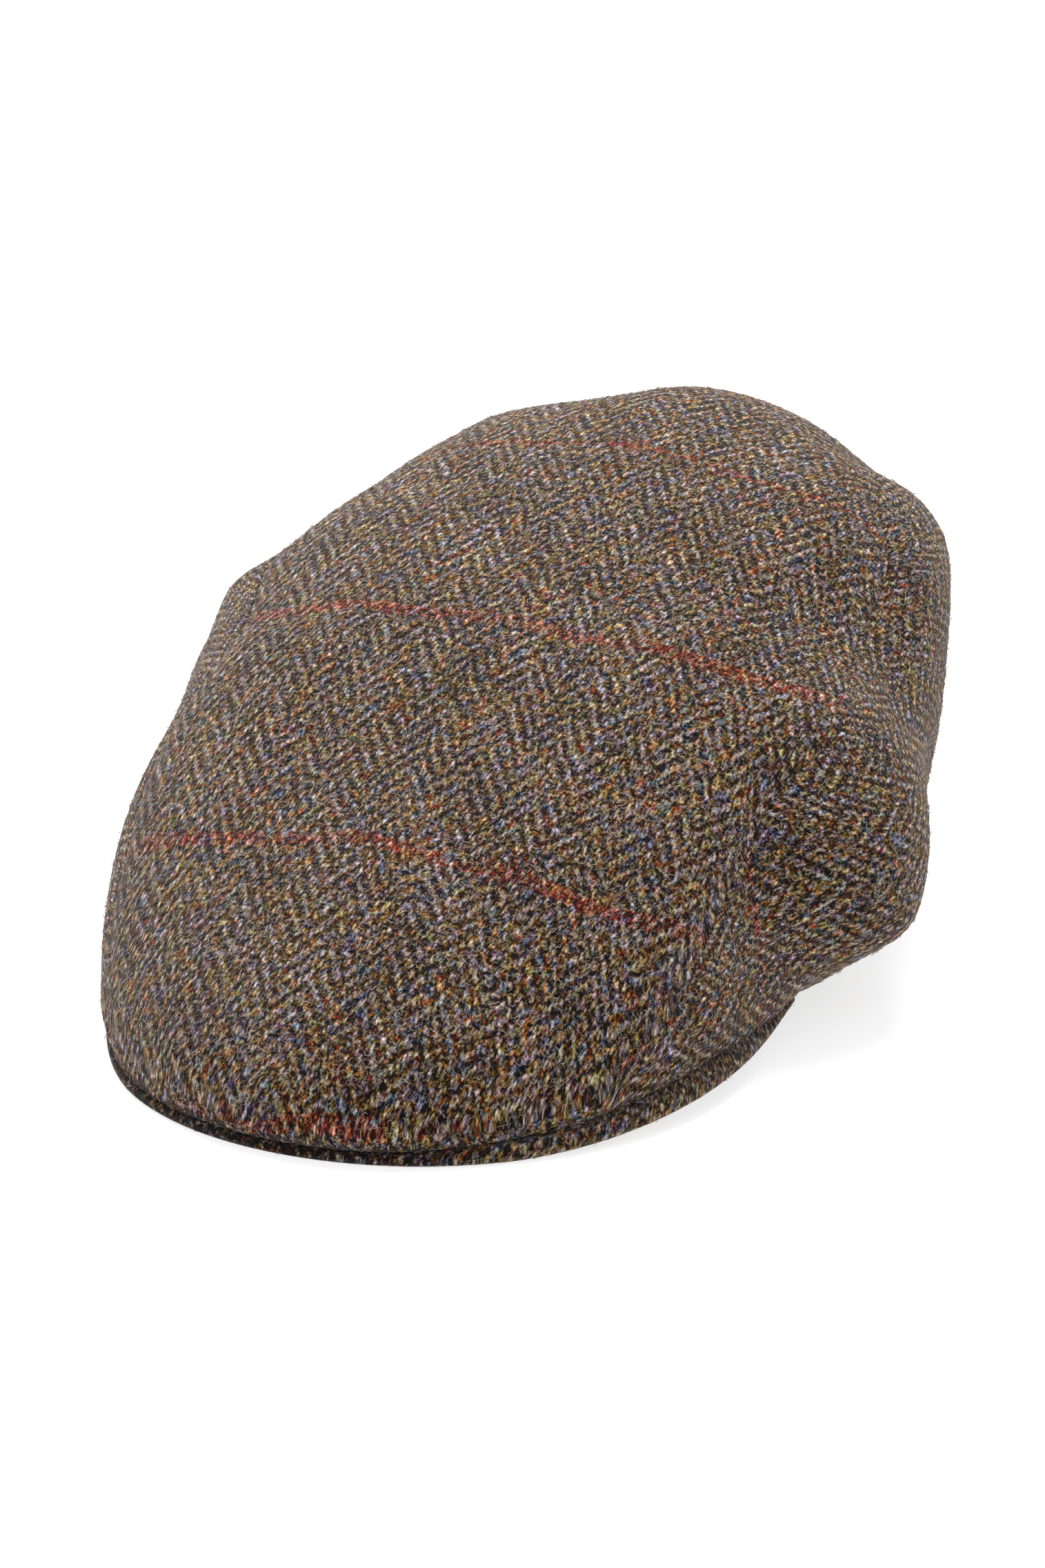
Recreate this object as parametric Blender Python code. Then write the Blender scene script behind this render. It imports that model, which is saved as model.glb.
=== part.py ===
"""A flat cap in wool cloth: a top panel, two side panels and a peak.

Metres, +Z up. The cap rests on the floor at z = 0, on its back hem and on the front of its peak.
The wearer looks along -Y, and +X is the wearer's left. The origin is on the floor, under the
middle of the cap.

Every piece is measured from the crown's axis, an upright line through the middle of the head
opening. An angle runs round that axis, from 0 at the front, with + on the wearer's left. A level
runs down the cloth, from 0 at the top over 1 at the widest place, the bulge, to 2 at the lower rim.
"""
import math
from collections import namedtuple

import bpy
import numpy as np

# Driving dimensions
HEAD_WIDTH = 0.172          # across the hem, outside
HEAD_LENGTH = 0.202         # along the hem, outside
HEM_LIFT = 0.007            # how far the hem stands off the floor at the sides
PEAK_DEPTH = 0.0465         # from the head opening's front to the peak's edge
PEAK_THICKNESS = 0.0045
PEAK_RISE = 0.012           # from the peak's front up to the head opening
OVERHANG = 0.0305           # how far the bulge stands out past the hem at the back
BULGE_HEIGHT = 0.0445       # height of the bulge's plane at the crown's axis
CROWN_TILT = math.radians(20.5)   # slope of the bulge's plane, up towards the back
DOME_RISE = 0.055           # from the bulge's plane up to the top, at the crown's axis
CLOTH = 0.002               # thickness of the crown's wall
EDGE_TURN = 0.003           # height of the crown's turned front edge
EDGE_INSET = 0.0025         # from the peak's edge in to the crown's front edge
SEAM_GAP = 0.0003           # between two panels
REST_GAP = 0.0003           # between the crown's front edge and the peak under it
SEAM_SINK = 0.0008          # depth of the valley along the seams
SEAM_VALLEY = 0.012         # width of that valley
RIM_FULLNESS = 0.6          # share of the bulge's height that falls straight down before the rim
EDGE_SOFTNESS = 0.004       # how gently the bulge comes down onto the crown's front edge

# One row for each section round the crown, with the wearer's left and right apart where they differ.
# angle: degrees. left_peak, right_peak: share of PEAK_DEPTH.
# left_inset, right_inset: the crown's front edge in from the peak's, share of EDGE_INSET.
# lift: share of HEM_LIFT. left, right: how far the bulge stands out, share of OVERHANG.
# left_rise, right_rise: the bulge's height off its plane, share of DOME_RISE.
# brow: how square the shoulder is. crest: how flat the top is.
Section = namedtuple(
    "Section",
    "angle left_peak right_peak left_inset right_inset lift left right left_rise right_rise brow crest")
SECTIONS = (
    Section(0, 1.06, 1.06, 0.6, 0.6, 0.0, 0.03, 0.03, 0.00, 0.00, 1.7, 1.9),
    Section(22, 0.92, 0.96, 1.3, 0.4, 0.0, 0.02, -0.05, -0.01, 0.00, 1.6, 2.1),
    Section(44, 0.59, 0.52, 2.5, 0.4, 0.55, 0.07, 0.15, 0.02, 0.01, 2.0, 2.4),
    Section(66, 0.14, 0.14, 1.0, 0.6, 0.95, 0.18, 0.41, 0.06, 0.00, 2.5, 2.7),
    Section(84, 0.00, 0.00, 1.0, 1.0, 1.4, 0.79, 0.50, -0.04, 0.04, 2.3, 2.5),
    Section(105, 0.00, 0.00, 1.0, 1.0, 0.8, 0.53, 0.86, -0.07, -0.07, 2.1, 2.5),
    Section(130, 0.00, 0.00, 1.0, 1.0, 0.6, 0.73, 0.60, 0.03, 0.01, 2.6, 2.2),
    Section(155, 0.00, 0.00, 1.0, 1.0, 0.0, 1.04, 1.02, -0.01, 0.00, 1.9, 2.5),
    Section(180, 0.00, 0.00, 1.0, 1.0, 0.0, 1.04, 1.04, 0.00, 0.00, 2.15, 2.6),
)

# The seam between the top panel and a side panel: degrees from the front, and its level there.
SeamPoint = namedtuple("SeamPoint", "angle level")
SEAM = (
    SeamPoint(22.5, 2.00),
    SeamPoint(27, 1.60),
    SeamPoint(31, 1.08),
    SeamPoint(38, 0.89),
    SeamPoint(46, 0.83),
    SeamPoint(58, 0.775),
    SeamPoint(71, 0.68),
    SeamPoint(85, 0.61),
    SeamPoint(100, 0.60),
    SeamPoint(114, 0.645),
    SeamPoint(126, 0.665),
    SeamPoint(137, 0.62),
    SeamPoint(150, 0.605),
    SeamPoint(180, 0.64),
)

# Dents in the cloth, and swells where the depth is negative: their place, depth as a share of
# CLOTH, and half widths in degrees and levels.
Dent = namedtuple("Dent", "angle level depth turn fall")
DENTS = (
    Dent(112, 0.72, 1.2, 9, 0.08),
    Dent(84, 0.72, 1.0, 8, 0.07),
    Dent(60, 0.88, 1.0, 8, 0.08),
    Dent(44, 0.95, 0.8, 6, 0.08),
    Dent(155, 0.74, 1.6, 6, 0.10),
    Dent(140, 0.90, -1.1, 8, 0.12),
    Dent(86, 1.45, -1.2, 8, 0.25),
    Dent(-96, 0.84, 0.6, 5, 0.10),
    Dent(-72, 0.82, 0.6, 7, 0.12),
    Dent(-102, 0.71, -1.0, 4, 0.09),
    Dent(-112, 0.70, 1.0, 6, 0.10),
    Dent(-124, 0.71, 0.7, 7, 0.10),
    Dent(-149, 0.65, -0.4, 5, 0.10),
    Dent(-166, 0.63, 2.0, 8, 0.12),
)

PEAK_END = 72               # degrees from the front to each end of the peak
PEAK_END_SHARE = 0.4        # thickness left at its ends
STEP_DOWN = 4.5             # degrees in which the crown's rim steps down from the peak to the hem
PEAK_EDGE = (               # the peak's rounded edge: inset and height, shares of its thickness
    (0.30, 0.00),
    (0.06, 0.20),
    (0.00, 0.50),
    (0.08, 0.82),
    (0.32, 1.00),
)

# Fineness of the meshes
ANGLE_STEP = 4.5            # degrees between columns
SIDE_START = 24             # degrees from the front to a side panel's tip
TOP_ROWS = 16               # rows from the top to the seam or the front edge
SIDE_ROWS = 11
PEAK_ROWS = 5
PROBES = 80                 # points that measure the cloth's length down one section
HALF_TURN = 180


def smooth_ring(angles, values):
    """Return a periodic cubic spline through values at angles, in degrees."""
    knots = np.array(list(angles) + [angles[0] + 2 * HALF_TURN], dtype=float)
    heights = np.array(list(values) + [values[0]], dtype=float)
    widths = np.diff(knots)
    slopes = np.diff(heights) / widths
    count = len(widths)
    system = np.zeros((count, count))
    target = np.zeros(count)
    for i in range(count):
        system[i, i - 1] += widths[i - 1]
        system[i, i] += 2 * (widths[i - 1] + widths[i])
        system[i, (i + 1) % count] += widths[i]
        target[i] = 6 * (slopes[i] - slopes[i - 1])
    bends = np.linalg.solve(system, target)
    bends = np.append(bends, bends[0])

    def value(angle):
        turned = knots[0] + (angle - knots[0]) % (2 * HALF_TURN)
        i = min(int(np.searchsorted(knots, turned, side="right")) - 1, count - 1)
        past, ahead, width = turned - knots[i], knots[i + 1] - turned, widths[i]
        curve = (bends[i] * ahead ** 3 + bends[i + 1] * past ** 3) / (6 * width)
        start = (heights[i] / width - bends[i] * width / 6) * ahead
        end = (heights[i + 1] / width - bends[i + 1] * width / 6) * past
        return float(curve + start + end)

    return value


def section_ring(left_column, right_column):
    """Return the spline of two columns of SECTIONS, one for each side of the cap."""
    right = [s for s in reversed(SECTIONS) if 0 < s.angle < HALF_TURN]
    angles = [-s.angle for s in right] + [s.angle for s in SECTIONS]
    values = [getattr(s, right_column) for s in right] + [getattr(s, left_column) for s in SECTIONS]
    return smooth_ring(angles, values)


peak_share = section_ring("left_peak", "right_peak")
inset_share = section_ring("left_inset", "right_inset")
lift_share = section_ring("lift", "lift")
overhang_share = section_ring("left", "right")
rise_share = section_ring("left_rise", "right_rise")
brow_at = section_ring("brow", "brow")
crest_at = section_ring("crest", "crest")
seam_ring = smooth_ring(
    [-p.angle for p in reversed(SEAM[:-1])] + [p.angle for p in SEAM],
    [p.level for p in reversed(SEAM[:-1])] + [p.level for p in SEAM],
)


def smooth_step(share):
    share = min(max(share, 0.0), 1.0)
    return share * share * (3 - 2 * share)


def soft_floor(value, floor, softness):
    """Return value, eased so that it never goes under floor."""
    return floor + softness * math.log1p(math.exp((value - floor) / softness))


def direction(angle):
    turn = math.radians(angle)
    return math.sin(turn), -math.cos(turn)


def hem_reach(angle):
    """Distance from the crown's axis to the outside of the hem, an ellipse."""
    x, y = direction(angle)
    return 1 / math.hypot(x / (HEAD_WIDTH / 2), y / (HEAD_LENGTH / 2))


def peak_reach(angle):
    return hem_reach(angle) + PEAK_DEPTH * max(peak_share(angle), 0.0)


def lift(angle):
    """Height of the hem, and of the peak's underside at its edge, above the floor."""
    return HEM_LIFT * max(lift_share(angle), 0.0)


def peak_thickness(angle):
    end = smooth_step((abs(angle) / PEAK_END - 0.5) / 0.5)
    return PEAK_THICKNESS * (1 - end * (1 - PEAK_END_SHARE))


def peak_underside(angle, reach):
    """Height of the peak's underside, which rises from its edge to the head opening."""
    depth = max(peak_reach(angle) - hem_reach(angle), CLOTH)
    foot = peak_reach(angle) - PEAK_EDGE[0][0] * peak_thickness(angle)
    share = min(max((foot - reach) / depth, 0.0), 1.0)
    arch = max(peak_share(angle), 0.0) ** 0.5
    return lift(angle) + PEAK_RISE * arch * share ** 1.3


def on_peak(angle):
    """1 where the crown's rim stands on the peak, 0 where it is the hem."""
    return 1 - smooth_step((abs(angle) - PEAK_END) / STEP_DOWN)


def rim_point(angle, inset):
    """Reach and height of the crown's lower rim."""
    covered = on_peak(angle)
    near_end = smooth_step((PEAK_END + STEP_DOWN - abs(angle)) / (PEAK_END / 3))
    reach = peak_reach(angle) - EDGE_INSET * inset_share(angle) * near_end - inset
    over_peak = peak_underside(angle, reach) + peak_thickness(angle) + REST_GAP
    return reach, lift(angle) * (1 - covered) + over_peak * covered


def crown_profile(angle, level, inset):
    """Reach and height of the crown's cloth, inset from its outside."""
    x, y = direction(angle)
    slope = math.tan(CROWN_TILT)
    outer_rim, _ = rim_point(angle, 0.0)
    rim_reach, rim_height = rim_point(angle, inset)
    reach = outer_rim + OVERHANG * overhang_share(angle) - inset
    bulge_plane = BULGE_HEIGHT + slope * reach * y
    bulge = bulge_plane + DOME_RISE * rise_share(angle)
    bulge = soft_floor(bulge, rim_height + EDGE_TURN, EDGE_SOFTNESS)
    if level <= 1:
        share = math.sin(level * math.pi / 2)
        plane = BULGE_HEIGHT + slope * share * reach * y
        plane += (bulge - bulge_plane) * share ** 3
        dome = max(1 - share ** crest_at(angle), 0.0) ** (1 / brow_at(angle))
        return share * reach, plane + (DOME_RISE - inset) * dome
    fall = level - 1
    turn = bulge - RIM_FULLNESS * (bulge - rim_height)
    weights = ((1 - fall) ** 2, 2 * fall * (1 - fall), fall ** 2)
    reach = np.dot(weights, (reach, reach, rim_reach))
    return float(reach), float(np.dot(weights, (bulge, turn, rim_height)))


def sink_depth(angle, level):
    """How far the cloth is drawn in by the seams and the dents."""
    drawn = 0.0
    if level < 1:
        away = (level - seam_level(angle)) * 2 * level_length(angle) / SEAM_VALLEY
        drawn += SEAM_SINK * math.exp(-away * away) * smooth_step((abs(angle) - SIDE_START) / 20)
    for dent in DENTS:
        turn = (angle - dent.angle + HALF_TURN) % (2 * HALF_TURN) - HALF_TURN
        spread = (turn / dent.turn) ** 2 + ((level - dent.level) / dent.fall) ** 2
        drawn += CLOTH * dent.depth * math.exp(-spread)
    return drawn


def level_length(angle):
    """Rough length of cloth from the top to the bulge."""
    return peak_reach(angle) + OVERHANG


def seam_level(angle):
    return min(seam_ring(abs(angle)), 2.0)


def crown_point(angle, level, inset):
    """Place of the crown's cloth, from the crown's axis."""
    reach, height = crown_profile(angle, level, inset)
    if 0 < level < 2:
        heart = BULGE_HEIGHT
        away = math.hypot(reach, height - heart)
        drawn = 1 - sink_depth(angle, level) / away
        reach, height = reach * drawn, heart + (height - heart) * drawn
    x, y = direction(angle)
    return np.array((x * reach, y * reach, height))


def level_beside_seam(angle, sign):
    """Level of a panel's edge beside the seam, half a seam gap away along the cloth."""
    middle = seam_level(angle)
    probe = 0.005
    ahead = crown_point(angle, middle + probe, 0.0)
    behind = crown_point(angle, middle - probe, 0.0)
    pace = np.linalg.norm(ahead - behind) / (2 * probe)
    return min(middle + sign * SEAM_GAP / 2 / pace, 2.0)


def even_levels(angle, start, end, count):
    """Levels from start to end that are evenly spaced along the cloth."""
    levels = np.linspace(start, end, PROBES)
    places = np.array([crown_point(angle, level, 0.0) for level in levels])
    steps = np.linalg.norm(np.diff(places, axis=0), axis=1)
    lengths = np.concatenate(([0.0], np.cumsum(steps)))
    return np.interp(np.linspace(0, lengths[-1], count + 1), lengths, levels)


def column_angles():
    """Angles of the crown's columns on one side, from the front to the back."""
    steps = [ANGLE_STEP * i for i in range(int(HALF_TURN / ANGLE_STEP))]
    return sorted(steps + [SIDE_START])


def grid_faces(rows, columns, ring):
    """Quads between rows of vertices, numbered row by row."""
    spans = columns if ring else columns - 1
    for row in range(rows - 1):
        for column in range(spans):
            after = (column + 1) % columns
            a, b = row * columns + column, row * columns + after
            yield (a, b, b + columns, a + columns)


def new_object(name, points, faces, colour):
    mesh = bpy.data.meshes.new(name)
    mesh.from_pydata([tuple(p) for p in points], [], faces)
    mesh.update()
    mesh.shade_smooth()
    mesh.set_sharp_from_angle(angle=math.radians(50))
    mesh.materials.append(cloth_material(name, colour))
    piece = bpy.data.objects.new(name, mesh)
    bpy.context.scene.collection.objects.link(piece)
    return piece


def cloth_material(name, colour):
    material = bpy.data.materials.new(name)
    material.use_nodes = True
    shader = material.node_tree.nodes["Principled BSDF"]
    shader.inputs["Base Color"].default_value = (*colour, 1.0)
    shader.inputs["Roughness"].default_value = 0.95
    shader.inputs["Metallic"].default_value = 0.0
    return material


def top_panel(colour):
    """The crown's top, a closed ring of columns round one middle point on each face."""
    half = column_angles()
    angles = [-HALF_TURN] + [-angle for angle in half[:0:-1]] + half
    columns = len(angles)
    sections = []
    for angle in angles:
        edge = level_beside_seam(angle, -1) if abs(angle) > SEAM[0].angle else 2.0
        sections.append(even_levels(angle, 0.0, edge, TOP_ROWS))
    points = []
    for inset in (0.0, CLOTH):
        points.append(crown_point(0, 0, inset))
        for row in range(1, TOP_ROWS + 1):
            points += [crown_point(angle, levels[row], inset)
                       for angle, levels in zip(angles, sections)]
    inner = 1 + TOP_ROWS * columns
    outside = inner - columns
    faces = []
    for column in range(columns):
        after = (column + 1) % columns
        faces.append((0, 1 + column, 1 + after))
        faces.append((inner, inner + 1 + after, inner + 1 + column))
        faces.append((outside + column, inner + outside + column,
                      inner + outside + after, outside + after))
    for a, b, c, d in grid_faces(TOP_ROWS, columns, ring=True):
        faces.append((a + 1, d + 1, c + 1, b + 1))
        faces.append((inner + a + 1, inner + b + 1, inner + c + 1, inner + d + 1))
    return new_object("top_panel", points, faces, colour)


def slab(name, outer, inner, columns, colour):
    """A closed wall between two grids of points of the same size, outer face first."""
    rows = len(outer) // columns
    base = len(outer)
    faces = []
    for a, b, c, d in grid_faces(rows, columns, ring=False):
        faces.append((a, d, c, b))
        faces.append((base + a, base + b, base + c, base + d))
    last = (rows - 1) * columns
    for column in range(columns - 1):
        faces.append((column, column + 1, base + column + 1, base + column))
        faces.append((last + column + 1, last + column, base + last + column, base + last + column + 1))
    for row in range(rows - 1):
        start, below = row * columns, (row + 1) * columns
        faces.append((below, start, base + start, base + below))
        end, under = start + columns - 1, below + columns - 1
        faces.append((end, under, base + under, base + end))
    return new_object(name, list(outer) + list(inner), faces, colour)


def side_panel(name, side, colour):
    """One side of the crown, from its tip on the peak to the seam at the centre of the back."""
    back_gap = math.degrees(SEAM_GAP / HEAD_LENGTH)
    angles = [angle for angle in column_angles() if angle >= SIDE_START]
    angles.append(HALF_TURN - back_gap)
    if side < 0:
        angles = [-angle for angle in reversed(angles)]
    sections = [even_levels(angle, level_beside_seam(angle, 1), 2.0, SIDE_ROWS)
                for angle in angles]
    grids = []
    for inset in (0.0, CLOTH):
        grids.append([crown_point(angle, levels[row], inset)
                      for row in range(SIDE_ROWS + 1)
                      for angle, levels in zip(angles, sections)])
    return slab(name, grids[0], grids[1], len(angles), colour)


def peak_section(angle):
    """Points of the peak's closed cross-section, from the inner edge's underside outwards."""
    thickness = peak_thickness(angle)
    edge, inner = peak_reach(angle), hem_reach(angle) - EDGE_INSET
    section = []
    for row in range(PEAK_ROWS):
        reach = inner + (edge - PEAK_EDGE[0][0] * thickness - inner) * row / PEAK_ROWS
        section.append((reach, peak_underside(angle, reach)))
    for inset, height in PEAK_EDGE:
        reach = edge - inset * thickness
        section.append((reach, peak_underside(angle, reach) + height * thickness))
    for row in range(PEAK_ROWS - 1, -1, -1):
        reach = inner + (edge - PEAK_EDGE[-1][0] * thickness - inner) * row / PEAK_ROWS
        section.append((reach, peak_underside(angle, reach) + thickness))
    x, y = direction(angle)
    return [np.array((x * reach, y * reach, height)) for reach, height in section]


def peak(colour):
    """The stiff peak, a plate swept round the front of the head opening."""
    count = math.ceil(PEAK_END / ANGLE_STEP)
    inner_angles = [ANGLE_STEP * i for i in range(-count + 1, count)]
    angles = [-PEAK_END] + inner_angles + [PEAK_END]
    sections = [peak_section(angle) for angle in angles]
    size = len(sections[0])
    points = [point for section in sections for point in section]
    faces = []
    for index in range(len(sections) - 1):
        start, after = index * size, (index + 1) * size
        for k in range(size):
            following = (k + 1) % size
            faces.append((start + k, after + k, after + following, start + following))
    half = size // 2
    for base, flip in ((0, False), ((len(sections) - 1) * size, True)):
        for k in range(half):
            face = (base + k, base + k + 1, base + size - 2 - k, base + size - 1 - k)
            if face[1] == face[2]:
                face = (face[0], face[1], face[3])
            faces.append(face[::-1] if flip else face)
    return new_object("peak", points, faces, colour)


def stand_over_origin(pieces):
    """Move the pieces so that the middle of their box is over the origin, on the floor."""
    corners = np.array([v.co for piece in pieces for v in piece.data.vertices])
    low, high = corners.min(axis=0), corners.max(axis=0)
    for piece in pieces:
        piece.location = (-(low[0] + high[0]) / 2, -(low[1] + high[1]) / 2, -low[2])


def main():
    for old in list(bpy.data.objects):
        bpy.data.objects.remove(old, do_unlink=True)
    tweed = (0.16, 0.125, 0.09)
    peak_tweed = (0.13, 0.10, 0.075)
    pieces = [
        top_panel(tweed),
        side_panel("side_panel_left", 1, tweed),
        side_panel("side_panel_right", -1, tweed),
        peak(peak_tweed),
    ]
    stand_over_origin(pieces)


main()
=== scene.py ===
"""A tweed flat cap on a white floor: four sewn cloth pieces in place of the frame's solids.

The cloth has the same sections as the solids, with the weave's ribs, rolled edges and loose wool
fibres added. Each piece has a cloth map in metres, u across the warp threads and v along them,
and the materials weave the tweed on it.
"""
import math
from collections import namedtuple

import bpy
import numpy as np
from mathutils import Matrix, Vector
from mathutils.bvhtree import BVHTree


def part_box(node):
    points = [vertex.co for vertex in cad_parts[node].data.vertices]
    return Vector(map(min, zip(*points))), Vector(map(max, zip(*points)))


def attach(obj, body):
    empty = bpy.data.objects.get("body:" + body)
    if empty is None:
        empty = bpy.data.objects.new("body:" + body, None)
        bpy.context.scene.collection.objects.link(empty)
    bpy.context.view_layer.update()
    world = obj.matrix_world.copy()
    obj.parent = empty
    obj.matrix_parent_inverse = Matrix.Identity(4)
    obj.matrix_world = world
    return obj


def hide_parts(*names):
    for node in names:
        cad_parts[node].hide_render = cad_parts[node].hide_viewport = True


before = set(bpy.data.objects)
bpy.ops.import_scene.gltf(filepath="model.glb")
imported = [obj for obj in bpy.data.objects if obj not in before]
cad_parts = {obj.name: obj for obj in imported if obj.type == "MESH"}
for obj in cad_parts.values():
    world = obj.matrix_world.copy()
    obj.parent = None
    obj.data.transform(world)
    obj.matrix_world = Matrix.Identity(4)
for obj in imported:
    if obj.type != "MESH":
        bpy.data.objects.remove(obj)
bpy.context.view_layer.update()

# The cap's sizes, as in the solids, in metres
HEAD_WIDTH = 0.172
HEAD_LENGTH = 0.202
HEM_LIFT = 0.007
PEAK_DEPTH = 0.0465
PEAK_THICKNESS = 0.0045
PEAK_RISE = 0.012
OVERHANG = 0.0305
BULGE_HEIGHT = 0.0445
CROWN_TILT = math.radians(20.5)
DOME_RISE = 0.055
CLOTH = 0.002
EDGE_TURN = 0.003
EDGE_INSET = 0.0025
SEAM_GAP = 0.00006          # the cloth all but meets; the solids stand further apart
REST_GAP = 0.0003           # between the peak and the crown's edge on it
SEAM_SINK = 0.0008
SEAM_VALLEY = 0.012
RIM_FULLNESS = 0.6
EDGE_SOFTNESS = 0.004
PEAK_END = 72
PEAK_END_SHARE = 0.4
STEP_DOWN = 4.5
PEAK_EDGE = ((0.30, 0.00), (0.06, 0.20), (0.00, 0.50), (0.08, 0.82), (0.32, 1.00))
SIDE_START = 24
SIDE_EASE = 20              # degrees over which the seam starts to draw the cloth in

# Sections round the crown: angle in degrees from the front, the rest as shares of the sizes
Section = namedtuple(
    "Section",
    "angle left_peak right_peak left_inset right_inset lift left right left_rise right_rise brow crest")
SECTIONS = (
    Section(0, 1.06, 1.06, 0.6, 0.6, 0.0, 0.03, 0.03, 0.00, 0.00, 1.7, 1.9),
    Section(22, 0.92, 0.96, 1.3, 0.4, 0.0, 0.02, -0.05, -0.01, 0.00, 1.6, 2.1),
    Section(44, 0.59, 0.52, 2.5, 0.4, 0.55, 0.07, 0.15, 0.02, 0.01, 2.0, 2.4),
    Section(66, 0.14, 0.14, 1.0, 0.6, 0.95, 0.18, 0.41, 0.06, 0.00, 2.5, 2.7),
    Section(84, 0.00, 0.00, 1.0, 1.0, 1.4, 0.79, 0.50, -0.04, 0.04, 2.3, 2.5),
    Section(105, 0.00, 0.00, 1.0, 1.0, 0.8, 0.53, 0.86, -0.07, -0.07, 2.1, 2.5),
    Section(130, 0.00, 0.00, 1.0, 1.0, 0.6, 0.73, 0.60, 0.03, 0.01, 2.6, 2.2),
    Section(155, 0.00, 0.00, 1.0, 1.0, 0.0, 1.04, 1.02, -0.01, 0.00, 1.9, 2.5),
    Section(180, 0.00, 0.00, 1.0, 1.0, 0.0, 1.04, 1.04, 0.00, 0.00, 2.15, 2.6),
)

# The seam between the top and a side: degrees from the front, and its level there
SeamPoint = namedtuple("SeamPoint", "angle level")
SEAM = (
    SeamPoint(22.5, 2.00),
    SeamPoint(27, 1.60),
    SeamPoint(31, 1.08),
    SeamPoint(38, 0.89),
    SeamPoint(46, 0.83),
    SeamPoint(58, 0.775),
    SeamPoint(71, 0.68),
    SeamPoint(85, 0.61),
    SeamPoint(100, 0.60),
    SeamPoint(114, 0.645),
    SeamPoint(126, 0.665),
    SeamPoint(137, 0.62),
    SeamPoint(150, 0.605),
    SeamPoint(180, 0.64),
)

# Dents, and swells where the depth is negative: depth as a share of CLOTH
Dent = namedtuple("Dent", "angle level depth turn fall")
DENTS = (
    Dent(112, 0.72, 1.2, 9, 0.08),
    Dent(84, 0.72, 1.0, 8, 0.07),
    Dent(60, 0.88, 1.0, 8, 0.08),
    Dent(44, 0.95, 0.8, 6, 0.08),
    Dent(155, 0.74, 1.6, 6, 0.10),
    Dent(140, 0.90, -1.1, 8, 0.12),
    Dent(86, 1.45, -1.2, 8, 0.25),
    Dent(-96, 0.84, 0.6, 5, 0.10),
    Dent(-72, 0.82, 0.6, 7, 0.12),
    Dent(-102, 0.71, -1.0, 4, 0.09),
    Dent(-112, 0.70, 1.0, 6, 0.10),
    Dent(-124, 0.71, 0.7, 7, 0.10),
    Dent(-149, 0.65, -0.6, 5, 0.10),
    Dent(-166, 0.63, 2.0, 8, 0.12),
    Dent(150, 0.82, -0.6, 9, 0.12),
    Dent(-42, 1.14, 0.35, 8, 0.20),
)

# Fineness of the meshes
COLUMN_STEP = 0.5           # degrees between columns
TOP_ROWS = 112
SIDE_ROWS = 66
INNER_STEP = 4              # outer columns for each column of the inside
INNER_ROWS = 18
PROBES = 160
EDGE_ROLL = 0.0007          # radius of the rolled edge along a seam
ROLL_ROWS = 4
PEAK_COLUMNS = 288
PEAK_ROWS = 16
NOSE_ROWS = 12              # round the peak's front edge
TOP_LENGTH = 0.15           # usual length of the top's cloth from its middle to its edge
SIDE_LENGTH = 0.075         # and of a side's from the seam to the hem
RING_REACH = 0.13           # usual distance of the edges from the crown's axis

# The cloth map
MAP_X = (-0.125, 0.1251, 0.0015)    # first place, end and step of the grid that measures the top
MAP_Y = (-0.155, 0.1451, 0.0025)
MAP_TOP = 0.3               # height from which the grid looks down
MAP_RISE = 0.003            # most that the cloth rises in a step of the grid
SIDE_PLACE = 0.11           # u of the sides' cloth at the height of SIDE_LINE
SIDE_LINE = 0.025
U_WANDERS = ((0.045, 0.0006, 1), (0.009, 0.00012, 2))   # size, reach and seed
V_WANDERS = ((0.050, 0.0010, 3), (0.012, 0.00025, 4))

# The weave
END = 0.001054              # warp thread spacing
PICK = 0.001550             # weft thread spacing
STRIPE = 8                  # ends in each stripe of the herringbone
STRIPE_START = 0.0030       # where one of the stripes starts, from the middle of the cloth
RIB_RELIEF = 0.00009
RIB_EASE = 0.004            # distance from an edge where the ribs have their whole height
RIB_ROWS = 4                # the same in rows, round the middle of the top
WEAVE_DEPTH = 0.7           # how far the threads pass over and under each other
WEAVE_BLEND = 0.4
WARP_SHOWS = (-0.5, 0.6)    # warp's height over the weft, from hidden to in front

# Loose wool
FIBRE_RADIUS = 0.000075
FIBRE_THICKNESS = (0.6, 1.25)       # shares of the radius, from the finest to the thickest
FIBRE_TAPER = 0.75
FIBRE_LENGTH = (0.0012, 0.0036)
FIBRE_CURL = 750
FIBRE_SWING = 0.9           # how far a fibre swings from its curl
FIBRE_SWINGS = 9
FIBRE_RISE = 0.00007        # usual height over the cloth
FIBRE_RISES = 7
FIBRE_PARTS = 7
FIBRE_SIDES = 3

# The crown's front edge rolls down over the peak's edge, all but the wearer's left end
ROLL_FROM, ROLL_TO = -70, 24   # degrees
ROLL_EASE = 16
ROLL_OUT = 0.0011
ROLL_LEAD = 6                  # how late in the crown's fall the roll starts
ROLL_BELLY = 0.5               # share of ROLL_OUT added halfway down
ROLL_DOWN = 0.0018             # how much thinner the peak is there
PAINTED_SHADE_START = 1.35             # level where the painted shade on the roll's underside starts


# Shape

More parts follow.
